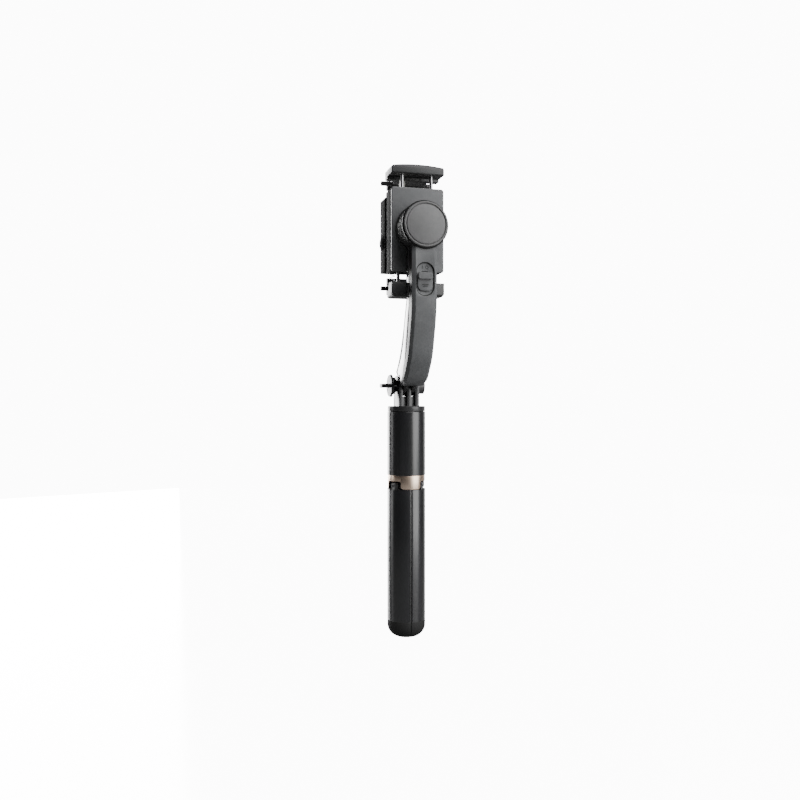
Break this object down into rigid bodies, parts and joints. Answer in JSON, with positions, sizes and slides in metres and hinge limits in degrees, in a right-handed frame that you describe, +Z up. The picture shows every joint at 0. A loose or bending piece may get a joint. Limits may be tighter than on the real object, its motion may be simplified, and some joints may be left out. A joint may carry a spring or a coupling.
{
  "type": "camera gimbal",
  "caption": "Pocket phone gimbal: motorised sprung clamp on a bent tilting arm, telescopic stick and fold-out tripod legs.",
  "frame": {"origin": "on the stick's axis, halfway up the grip", "axes": "+Z up along the stick, -Y towards the motor's face, +Y towards the phone's side of the clamp"},
  "size_m": [0.0419, 0.0645, 0.3402],
  "materials": {
    "satin_shell": "satin charcoal moulded plastic",
    "handle_black": "satin black plastic with a soft long highlight",
    "matte_black": "matt black moulded plastic",
    "rubber": "matt black rubber",
    "accent_metal": "satin champagne-gold anodised ring",
    "bright_steel": "bright polished steel",
    "dark_steel": "blackened steel",
    "copper_wire": "enamelled copper wire",
    "circuit_board": "green circuit board",
    "cell_wrap": "silver-grey cell wrap",
    "white_nylon": "natural nylon"
  },
  "bodies": {
    "handle": {"grip_sleeve": "handle_black", "outer_tube": "bright_steel", "tube_plug": "matte_black", "leg_hub": "matte_black", "accent_ring": "accent_metal", "leg_hinge_pins": "bright_steel"},
    "front_right_leg": {"leg_3": "handle_black", "foot_3": "rubber"},
    "front_left_leg": {"leg_2": "handle_black", "foot_2": "rubber"},
    "back_leg": {"leg_1": "handle_black", "foot_1": "rubber"},
    "head": {"stick_cap": "handle_black", "pivot_nut": "dark_steel"},
    "knob": {"thumb_knob": "matte_black", "pivot_screw": "dark_steel"},
    "arm": {"arm_front_cover": "satin_shell", "arm_rear_shell": "satin_shell", "arm_screws": "dark_steel", "battery": "cell_wrap", "main_board": "circuit_board", "switch_body": "white_nylon", "charge_port": "bright_steel", "motor_housing": "matte_black", "motor_cap": "satin_shell", "stator_core": "dark_steel", "stator_coils": "copper_wire", "motor_bearings": "bright_steel"},
    "switch": {"power_slider": "matte_black"},
    "clamp": {"rotor_bell": "matte_black", "rotor_magnets": "dark_steel", "motor_shaft": "bright_steel", "clamp_front_plate": "satin_shell", "clamp_front_shell": "matte_black", "clamp_rear_shell": "matte_black", "side_cap": "matte_black", "back_rest_pad": "rubber", "pinion_axle": "bright_steel"},
    "pinion": {"sync_pinion": "white_nylon"},
    "upper_jaw": {"jaw_upper": "satin_shell", "jaw_rubbers_upper": "rubber", "jaw_rods_upper": "bright_steel", "rack_upper": "white_nylon", "jaw_spring_upper": "bright_steel"},
    "lower_jaw": {"jaw_lower": "satin_shell", "jaw_rubbers_lower": "rubber", "jaw_rods_lower": "bright_steel", "rack_lower": "white_nylon", "jaw_spring_lower": "bright_steel"},
    "stage_1": {"rod_stage_1": "bright_steel", "stage_bush_1": "white_nylon"},
    "stage_2": {"rod_stage_2": "bright_steel", "stage_bush_2": "white_nylon"},
    "stage_3": {"rod_stage_3": "bright_steel", "stage_bush_3": "white_nylon"},
    "stage_4": {"rod_stage_4": "bright_steel", "stage_bush_4": "white_nylon"},
    "stage_5": {"rod_stage_5": "bright_steel", "stage_bush_5": "white_nylon"}
  },
  "joints": [
    {"name": "back_leg_fold", "type": "hinge", "parent": "handle", "child": "back_leg", "pos_m": [0, 0.0104, -0.03], "axis": [1, 0, 0], "range_deg": [0, 45]},
    {"name": "front_left_leg_fold", "type": "hinge", "parent": "handle", "child": "front_left_leg", "pos_m": [-0.00901, -0.0052, -0.03], "axis": [-0.5, 0.866, 0], "range_deg": [0, 45]},
    {"name": "front_right_leg_fold", "type": "hinge", "parent": "handle", "child": "front_right_leg", "pos_m": [0.00901, -0.0052, -0.03], "axis": [-0.5, -0.866, 0], "range_deg": [0, 45]},
    {"name": "stage_1_slide", "type": "slide", "parent": "handle", "child": "stage_1", "axis": [0, 0, 1], "range_m": [0, 0.104]},
    {"name": "stage_2_slide", "type": "slide", "parent": "stage_1", "child": "stage_2", "axis": [0, 0, 1], "range_m": [0, 0.104]},
    {"name": "stage_3_slide", "type": "slide", "parent": "stage_2", "child": "stage_3", "axis": [0, 0, 1], "range_m": [0, 0.104]},
    {"name": "stage_4_slide", "type": "slide", "parent": "stage_3", "child": "stage_4", "axis": [0, 0, 1], "range_m": [0, 0.104]},
    {"name": "stage_5_slide", "type": "slide", "parent": "stage_4", "child": "stage_5", "axis": [0, 0, 1], "range_m": [0, 0.104]},
    {"name": "head_pan", "type": "hinge", "parent": "stage_5", "child": "head", "pos_m": [0, 0, 0.0255], "axis": [0, 0, 1], "continuous": true},
    {"name": "knob_turn", "type": "hinge", "parent": "head", "child": "knob", "pos_m": [0, 0, 0.0423], "axis": [1, 0, 0], "range_deg": [-90, 90]},
    {"name": "arm_tilt", "type": "hinge", "parent": "head", "child": "arm", "pos_m": [0, 0, 0.0423], "axis": [1, 0, 0], "range_deg": [-135, 40]},
    {"name": "power_slide", "type": "slide", "parent": "arm", "child": "switch", "axis": [0, 0, 1], "range_m": [0, 0.005]},
    {"name": "motor_roll", "type": "hinge", "parent": "arm", "child": "clamp", "pos_m": [0, -0.04, 0.1522], "axis": [0, -1, 0], "range_deg": [-150, 150]},
    {"name": "upper_jaw_slide", "type": "slide", "parent": "clamp", "child": "upper_jaw", "axis": [0, 0, 1], "range_m": [-0.0073, 0.0055], "stiffness_N_per_m": 150, "deforming": ["jaw_spring_upper"]},
    {"name": "lower_jaw_slide", "type": "slide", "parent": "clamp", "child": "lower_jaw", "axis": [0, 0, 1], "range_m": [-0.0055, 0.0073], "deforming": ["jaw_spring_lower"]},
    {"name": "pinion_spin", "type": "hinge", "parent": "clamp", "child": "pinion", "pos_m": [0, -0.0145, 0.1519], "axis": [0, 1, 0], "range_deg": [-88, 67]}
  ],
  "couplings": [
    {"joint": "lower_jaw_slide", "follows": "upper_jaw_slide", "ratio": -1},
    {"joint": "pinion_spin", "follows": "upper_jaw_slide", "rad_per_m": 208.33}
  ]
}
